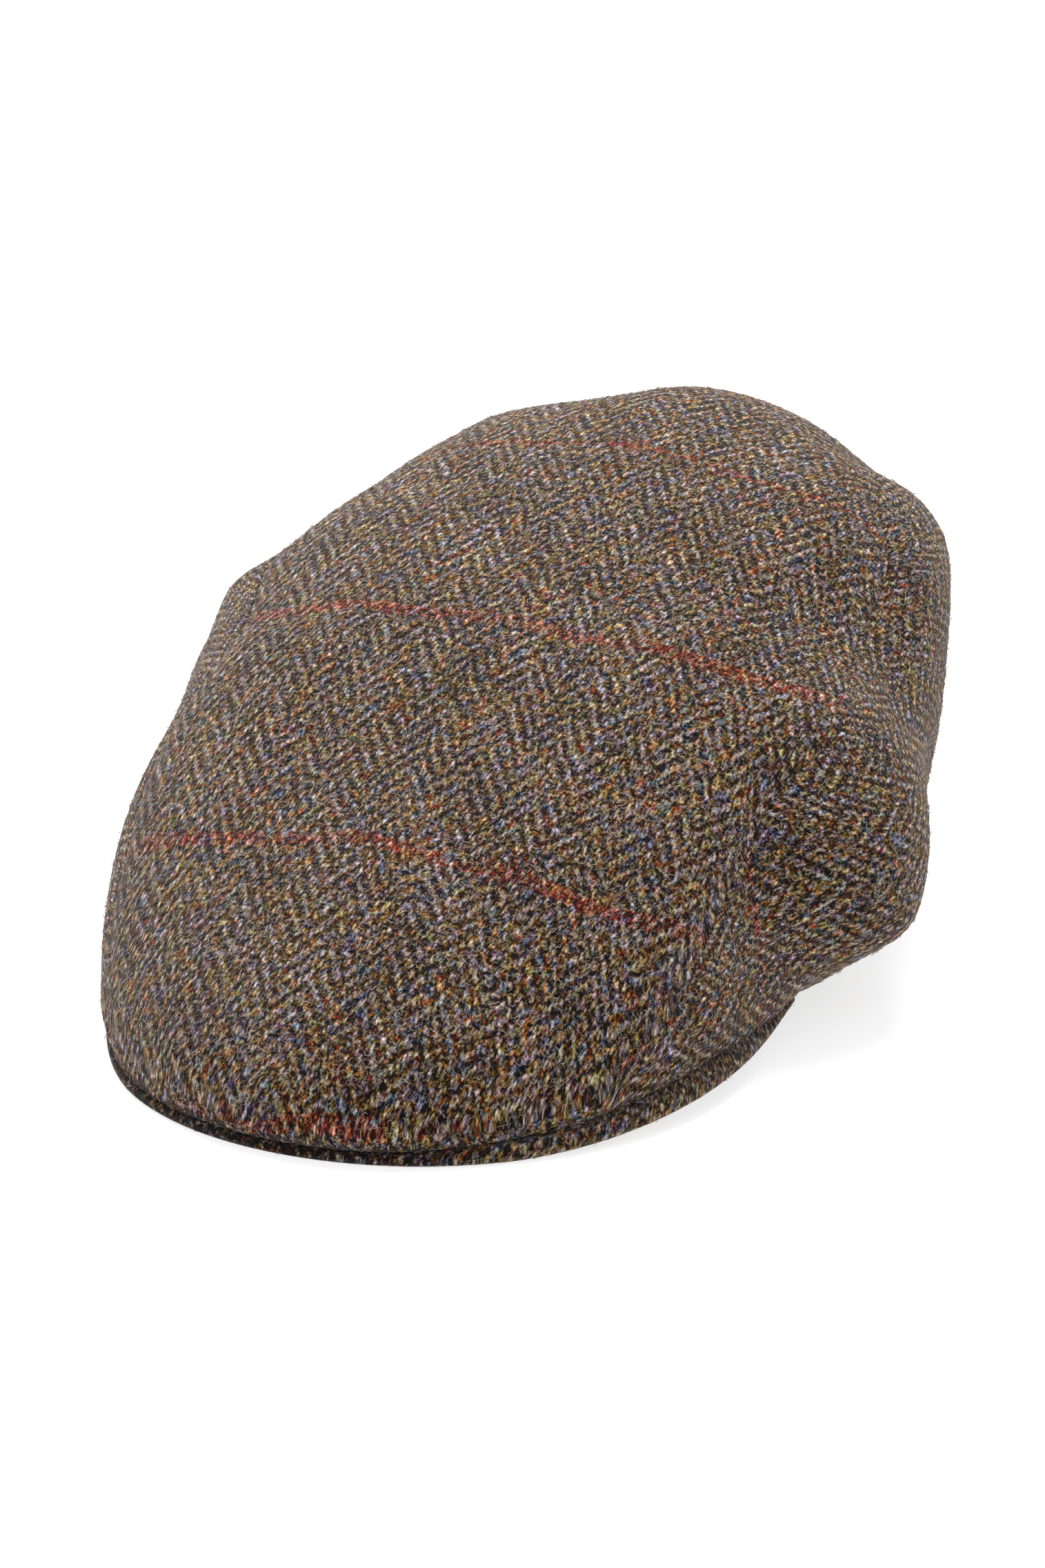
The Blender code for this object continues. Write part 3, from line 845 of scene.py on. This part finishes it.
def noise_node(tree, where, scale, detail, rough):
    node = tree.nodes.new("ShaderNodeTexNoise")
    tree.links.new(where, node.inputs["Vector"])
    node.inputs["Scale"].default_value = scale
    node.inputs["Detail"].default_value = detail
    node.inputs["Roughness"].default_value = rough
    return node


def noise(tree, where, scale, detail, rough):
    """Smooth noise at a place, about 0.5."""
    return Value(tree, noise_node(tree, where, scale, detail, rough).outputs["Fac"])


def noises(tree, where, scale, detail, rough):
    """Three smooth noises at a place, about 0.5."""
    return split_colour(tree, noise_node(tree, where, scale, detail, rough).outputs["Color"])


def ramp(tree, value, stops, sharp=False):
    """The palette's colour at value. Its stops are places with display colours."""
    node = tree.nodes.new("ShaderNodeValToRGB")
    node.color_ramp.interpolation = "CONSTANT" if sharp else "LINEAR"
    elements = node.color_ramp.elements
    while len(elements) < len(stops):
        elements.new(0.5)
    for element, (place, colour) in zip(elements, stops):
        element.position = place
        element.color = colour
    feed(tree, node.inputs["Fac"], value)
    return node.outputs["Color"]


def shade_of(colour):
    """A shader's colour from a display colour of 0 to 255."""
    shares = [c / 255 for c in colour]
    return (*[c / 12.92 if c <= 0.04045 else ((c + 0.055) / 1.055) ** 2.4 for c in shares], 1.0)


def display_colour(colour):
    """A display colour as shares of white, for mixing before the cloth's lightness is added."""
    return (*[c / 255 for c in colour], 1.0)


def palette(convert, *stops):
    return [(place, convert(colour)) for place, colour in stops]


def split_colour(tree, colour):
    node = tree.nodes.new("ShaderNodeSeparateColor")
    tree.links.new(colour, node.inputs[0])
    return [Value(tree, s) for s in node.outputs]


def mix(tree, share, a, b):
    node = tree.nodes.new("ShaderNodeMix")
    node.data_type = "RGBA"
    feed(tree, node.inputs["Factor"], share)
    places = [s for s in node.inputs if s.type == "RGBA"]
    feed(tree, places[0], a)
    feed(tree, places[1], b)
    return [s for s in node.outputs if s.type == "RGBA"][0]


def tufts(tree, where_x, where_y):
    """Small tufts of fibre: distance from the middle of each, and three chance numbers."""
    node = tree.nodes.new("ShaderNodeTexVoronoi")
    node.voronoi_dimensions = "2D"
    tree.links.new(vector(tree, where_x, where_y), node.inputs["Vector"])
    node.inputs["Scale"].default_value = 1.0
    return Value(tree, node.outputs["Distance"]), split_colour(tree, node.outputs["Color"])


def map_values(tree, name):
    """The two numbers of one of the mesh's maps."""
    where = tree.nodes.new("ShaderNodeUVMap")
    where.uv_map = name
    parts = tree.nodes.new("ShaderNodeSeparateXYZ")
    tree.links.new(where.outputs[0], parts.inputs[0])
    return Value(tree, parts.outputs[0]), Value(tree, parts.outputs[1])


def new_material(name):
    material = bpy.data.materials.new(name)
    material.use_nodes = True
    return material, material.node_tree, material.node_tree.nodes["Principled BSDF"]


# Dyed wool in the yarns, from the coldest to the warmest, in display colours
WARP_WOOL = palette(
    display_colour,
    (0.24, (82, 98, 122)),
    (0.36, (98, 97, 108)),
    (0.44, (108, 94, 98)),
    (0.52, (110, 96, 82)),
    (0.60, (112, 99, 62)),
    (0.68, (124, 95, 58)),
    (0.80, (160, 82, 46)),
)
WEFT_WOOL = palette(
    display_colour,
    (0.24, (76, 96, 120)),
    (0.38, (100, 95, 100)),
    (0.48, (110, 94, 86)),
    (0.58, (116, 98, 56)),
    (0.70, (136, 90, 54)),
    (0.82, (160, 72, 50)),
)
SPECKS = palette(
    display_colour,
    (0.00, (190, 92, 36)),
    (0.30, (178, 140, 50)),
    (0.50, (70, 100, 140)),
    (0.66, (160, 60, 48)),
    (0.80, (150, 140, 124)),
)
FIBRES = palette(
    shade_of,
    (0.00, (196, 184, 160)),
    (0.26, (168, 158, 158)),
    (0.46, (166, 148, 100)),
    (0.60, (140, 128, 116)),
    (0.72, (116, 122, 136)),
    (0.80, (176, 112, 68)),
    (0.86, (84, 66, 56)),
)
RED_WOOL = display_colour((146, 64, 48))
ORANGE_WOOL = display_colour((150, 88, 52))

# Noise in the tweed: waves in a metre, detail and roughness
STRAY = (1100.0, 2.0, 0.6)      # small wanderings
DRIFT = (270.0, 2.0, 0.7)       # the wool's colour along the palettes
WEAR = (38.0, 3.0, 0.7)         # where the coloured lines are clear
STRANDS = (560.0, 2.0, 0.85)    # light and dark strands
BROAD = (40.0, 2.0, 0.6)        # lighter and darker places
YARNS = (1.0, 2.0, 0.6)         # each warp thread's own lightness
RED_DRIFT = (300.0, 2.0, 0.6)
WARM_DRIFT = (110.0, 2.0, 0.6)

# How far they move threads and tufts, in shares of their width, and the rest, in metres
END_STRAY, PICK_STRAY, TUFT_STRAY = 0.9, 0.7, 1.4
RED_STRAY, ORANGE_STRAY, STRAND_STRAY = 0.0022, 0.0010, 0.0012

TUFT_WIDTH, TUFT_LENGTH = 0.00060, 0.0016
SPECK_WIDTH, SPECK_LENGTH = 0.0007, 0.0020
LEAN = 0.25                     # how far the strands lean across the warp
DRIFT_CONTRAST = 1.35
LINE_MIDDLE = -0.005            # where the red lines curve least
LINE_CORNER = 0.004             # how softly a bent one bends
LINE_FADE = 0.010

# Lightness of the cloth, in shares of white on the display scale
BASE_LIGHTNESS = 0.075
STRAND_CONTRAST = 1.65
PAINTED_TUFT_EDGE_SHADE = 0.42                # painted shade at the tufts' edges, which the bump sets lower
TUFT_CONTRAST = 0.21
# painted shade in the weave: lower threads and the valleys between the ribs are darker
PAINTED_RELIEF_SHADE = 0.10
PAINTED_RIB_SHADE = 0.135
YARN_CONTRAST = 0.40
BROAD_CONTRAST = 0.25
DARKEST = 0.02
DISPLAY_POWER = 2.2

# What the drifts add to red, green and blue, and what is taken off them all over the cloth
RED_CAST = (0.18, -0.10, 0.04)
WARM_CAST = (0.09, 0.07, -0.22)
TONE = (0.008, 0.018, 0.024)


def wool(name):
    """Loose fibres, each of one colour from the cloth map's first number."""
    material, tree, shader = new_material(name)
    chance, _ = map_values(tree, "cloth")
    tree.links.new(ramp(tree, chance, FIBRES, sharp=True), shader.inputs["Base Color"])
    shader.inputs["Roughness"].default_value = 0.6
    shader.inputs["Specular IOR Level"].default_value = 0.4
    return material


def herringbone(u, v, stray):
    """How far the warp shows, the relief, the twill's waves, and the warp thread's number."""
    end = (u - STRIPE_START) / END + (stray[0] - 0.5) * END_STRAY
    pick = v / PICK + (stray[1] - 0.5) * PICK_STRAY
    end_index, pick_index = end.floor(), pick.floor()
    place = end_index.within(2.0 * STRIPE)
    falling = place.below(STRIPE - 0.5)
    mirrored = place * -1.0 + (2.0 * STRIPE + 1)
    step = mirrored + (place - mirrored) * falling
    over = ((pick - step) * (math.pi / 2)).math("SINE")
    warp_height = over * WEAVE_DEPTH + ((end - end_index - 0.5) * math.pi).math("COSINE")
    weft_height = over * -WEAVE_DEPTH + ((pick - pick_index - 0.5) * math.pi).math("COSINE")
    shows = (warp_height - weft_height).smooth(*WARP_SHOWS)
    height = warp_height.math("SMOOTH_MAX", weft_height, WEAVE_BLEND)
    return shows, height, over, end_index


# A red line across the cloth: its place, its width in weft threads, and how much it curves.
# Where bend isn't 0, it also bends on both sides of middle, and fades past reach.
WeftLine = namedtuple(
    "WeftLine", "place width curve bend middle reach", defaults=(0.0, 0.0, 0.0, 1.0))


def red_share(line, u, v, stray, worn):
    """How strongly a red line dyes a place."""
    square = (u - LINE_MIDDLE) * (u - LINE_MIDDLE)
    away = v + (stray[1] - 0.5) * RED_STRAY - square * square * line.curve - line.place
    share = worn * 0.65 + 0.25
    if line.bend:
        off = u - line.middle
        bent = (off * off + LINE_CORNER ** 2).math("SQRT") - LINE_CORNER
        away = away - bent * line.bend
        share = share * off.size().smooth(line.reach, line.reach - LINE_FADE)
    width = line.width * PICK
    return away.size().smooth(width, width * 0.55) * share


def tweed(name, weft_lines, warp_lines, brightness, shade=0.0):
    """Herringbone tweed on the cloth map, with the overcheck's lines.

    A warp line is its place and its width in threads. shade is how far painted shade darkens the places
    that the second map marks.
    """
    material, tree, shader = new_material(name)
    u, v = map_values(tree, "cloth")
    stray = noises(tree, vector(tree, u, v), *STRAY)
    shows, height, over, end_index = herringbone(u, v, stray)

    # dyed wool runs in short strands, leaning a little across the warp
    across, along = u - v * LEAN, v + u * LEAN
    tuft_x = across / TUFT_WIDTH + (stray[2] - 0.5) * TUFT_STRAY
    tuft_edge, chance = tufts(tree, tuft_x, along / TUFT_LENGTH)
    drift = noises(tree, vector(tree, across * 1.4, along), *DRIFT)
    warp_colour = ramp(tree, (drift[0] - 0.5) * DRIFT_CONTRAST + 0.5, WARP_WOOL)
    weft_colour = ramp(tree, (drift[1] - 0.5) * DRIFT_CONTRAST + 0.5, WEFT_WOOL)

    # the overcheck's coloured threads, clear in some places and nearly hidden in others
    worn = noise(tree, vector(tree, u, v, 9.0), *WEAR).smooth(0.34, 0.58)
    for line in weft_lines:
        near = red_share(line, u, v, stray, worn)
        weft_colour = mix(tree, near * chance[0].smooth(0.15, 0.35) * 0.9, weft_colour, RED_WOOL)
        warp_colour = mix(tree, near * chance[1].smooth(0.40, 0.55) * 0.85, warp_colour, RED_WOOL)
    for line, width in warp_lines:
        away = (u + (stray[0] - 0.5) * ORANGE_STRAY - line).size()
        near = away.below(width * END) * (worn * 0.6 + 0.4)
        warp_colour = mix(tree, near * chance[1].smooth(0.35, 0.50) * 0.9, warp_colour, ORANGE_WOOL)

    # single specks of another colour
    _, speck = tufts(tree, across / SPECK_WIDTH, along / SPECK_LENGTH)
    rare = speck[1].smooth(0.975, 0.985) * drift[2].smooth(0.35, 0.55)
    colour = mix(tree, shows, weft_colour, warp_colour)
    colour = mix(tree, rare * 0.7, colour, ramp(tree, speck[0], SPECKS, sharp=True))

    strand_x = across * 1.25 + (stray[0] - 0.5) * STRAND_STRAY
    strands = noise(tree, vector(tree, strand_x, along), *STRANDS)
    broad = noise(tree, vector(tree, u, v), *BROAD)
    yarn = noise(tree, vector(tree, end_index * 7.3, v * 240.0), *YARNS)
    # the strands are light and dark wool; the tufts' edges get painted shade
    lightness = (strands - 0.5) * STRAND_CONTRAST - tuft_edge * PAINTED_TUFT_EDGE_SHADE
    lightness = lightness + (chance[2] - 0.5) * TUFT_CONTRAST + BASE_LIGHTNESS
    # painted shade in the weave's low places and between its ribs
    lightness = lightness + (height - 1.0) * PAINTED_RELIEF_SHADE + over * PAINTED_RIB_SHADE
    lightness = lightness + (yarn - 0.5) * YARN_CONTRAST + (broad - 0.5) * BROAD_CONTRAST
    # painted shade: the cloth is darker where the second map marks the roll's shaded parts
    if shade:
        painted_shade_mask, _ = map_values(tree, "painted_shade_mask")
        lightness = lightness - painted_shade_mask * shade

    red = noise(tree, vector(tree, across, along, 5.0), *RED_DRIFT) - 0.5
    warm = noise(tree, vector(tree, across, along, 7.0), *WARM_DRIFT) - 0.5
    dyed = tree.nodes.new("ShaderNodeCombineColor")
    channels = zip(dyed.inputs, split_colour(tree, colour), RED_CAST, WARM_CAST, TONE)
    for place, channel, red_cast, warm_cast, tone in channels:
        level = channel + lightness + red * red_cast + warm * warm_cast - tone
        level = level.math("MAXIMUM", DARKEST).math("POWER", DISPLAY_POWER)
        feed(tree, place, level * brightness)
    tree.links.new(dyed.outputs[0], shader.inputs["Base Color"])

    bump = tree.nodes.new("ShaderNodeBump")
    bump.inputs["Distance"].default_value = 0.00035
    feed(tree, bump.inputs["Height"], height * 0.5 - tuft_edge * 0.6 + strands * 2.0)
    tree.links.new(bump.outputs[0], shader.inputs["Normal"])
    feed(tree, shader.inputs["Roughness"], (strands - 0.5) * 0.2 + 0.9)
    shader.inputs["Specular IOR Level"].default_value = 0.1
    shader.inputs["Sheen Weight"].default_value = 0.15
    shader.inputs["Sheen Roughness"].default_value = 0.5
    shader.inputs["Sheen Tint"].default_value = (1.0, 0.94, 0.86, 1.0)
    return material


def cloth_v(y):
    """Place along the cloth of a world y on the middle of the top."""
    return float(np.interp(y - AXIS[1], MIDDLE_Y, MIDDLE_LENGTH))


top_tweed = tweed(
    "top_tweed",
    weft_lines=[
        WeftLine(cloth_v(0.070), 0.9),
        WeftLine(cloth_v(-0.0048), 1.8, 160),
        WeftLine(cloth_v(-0.0770), 1.8, 260),
        WeftLine(-0.1800, 1.7, bend=0.45, middle=-0.006, reach=0.036),
    ],
    warp_lines=[(0.0515, 0.7), (0.0028, 0.7), (-0.0470, 0.7)], brightness=1.0, shade=0.27)
side_tweed = tweed(
    "side_tweed",
    weft_lines=[WeftLine(0.085, 0.8), WeftLine(-0.085, 0.8)],
    warp_lines=[(0.11, 0.6), (-0.11, 0.6)], brightness=1.0)
# painted shade: the peak's tweed is the crown's cloth made darker overall
peak_tweed = tweed(
    "peak_tweed", weft_lines=[], warp_lines=[(0.075, 0.6)], brightness=0.85, shade=0.18)

top = top_panel(top_tweed)
left = side_panel("left_cloth_panel", 1, side_tweed, "side_panel_left")
right = side_panel("right_cloth_panel", -1, side_tweed, "side_panel_right")
cover = peak(peak_tweed)
fibres = wool("loose_wool")
loose_wool("top_wool_a", top, 4200, 11, fibres)
loose_wool("top_wool_b", top, 4200, 12, fibres)
loose_wool("left_wool", left, 3000, 13, fibres)
loose_wool("right_wool", right, 2600, 14, fibres)
loose_wool("peak_wool", cover, 500, 15, fibres)


# Stage

FLOOR_REACH = 4.0
LIGHT_AIM = (0, 0, 0.05)
PHOTO_HEIGHT = 2273
CAMERA_TURN = math.radians(24.5)
CAMERA_RISE = math.radians(22.05)
CAMERA_DISTANCE = 1.757
CAMERA_AIM = AXIS + (0.0, 0.005, 0.045)


def floor():
    reach = FLOOR_REACH
    corners = [(-reach, -reach, 0), (reach, -reach, 0), (reach, reach, 0), (-reach, reach, 0)]
    mesh = bpy.data.meshes.new("floor")
    mesh.from_pydata(corners, [], [(0, 1, 2, 3)])
    material, _, shader = new_material("floor_white")
    shader.inputs["Base Color"].default_value = (0.42, 0.42, 0.43, 1.0)
    shader.inputs["Roughness"].default_value = 0.8
    shader.inputs["Emission Color"].default_value = (1.0, 1.0, 1.0, 1.0)
    shader.inputs["Emission Strength"].default_value = 0.72
    mesh.materials.append(material)
    piece = bpy.data.objects.new("floor", mesh)
    bpy.context.scene.collection.objects.link(piece)


def add_looking(thing, way):
    """Add a lamp or a camera to the scene, looking along a direction."""
    thing.rotation_mode = "QUATERNION"
    thing.rotation_quaternion = way.to_track_quat("-Z", "Y")
    bpy.context.scene.collection.objects.link(thing)


def area_light(name, place, size, power):
    light = bpy.data.lights.new(name, "AREA")
    light.shape = "DISK"
    light.size = size
    light.energy = power
    lamp = bpy.data.objects.new(name, light)
    lamp.location = place
    add_looking(lamp, Vector(LIGHT_AIM) - Vector(place))


def studio():
    world = bpy.data.worlds.new("studio")
    world.use_nodes = True
    background = world.node_tree.nodes["Background"]
    background.inputs["Color"].default_value = (1.0, 1.0, 1.0, 1.0)
    background.inputs["Strength"].default_value = 0.75
    bpy.context.scene.world = world
    area_light("overhead", (-0.25, 0.7, 1.6), 1.2, 29)
    area_light("back_left", (-1.4, 0.9, 0.9), 0.9, 12)
    bpy.context.scene.view_settings.view_transform = "Standard"


def camera():
    """The photo's view: from the front, a little to the wearer's left, and above."""
    back = Vector((math.sin(CAMERA_TURN) * math.cos(CAMERA_RISE),
                   -math.cos(CAMERA_TURN) * math.cos(CAMERA_RISE), math.sin(CAMERA_RISE)))
    data = bpy.data.cameras.new("camera")
    data.sensor_width = 36.0
    data.lens = 152.2
    data.shift_x = -32.6 / PHOTO_HEIGHT
    data.shift_y = -14.3 / PHOTO_HEIGHT
    data.clip_start = 0.05
    data.clip_end = 50
    eye = bpy.data.objects.new("camera", data)
    eye.location = Vector(CAMERA_AIM) + back * CAMERA_DISTANCE
    add_looking(eye, -back)
    bpy.context.scene.camera = eye


floor()
studio()
camera()
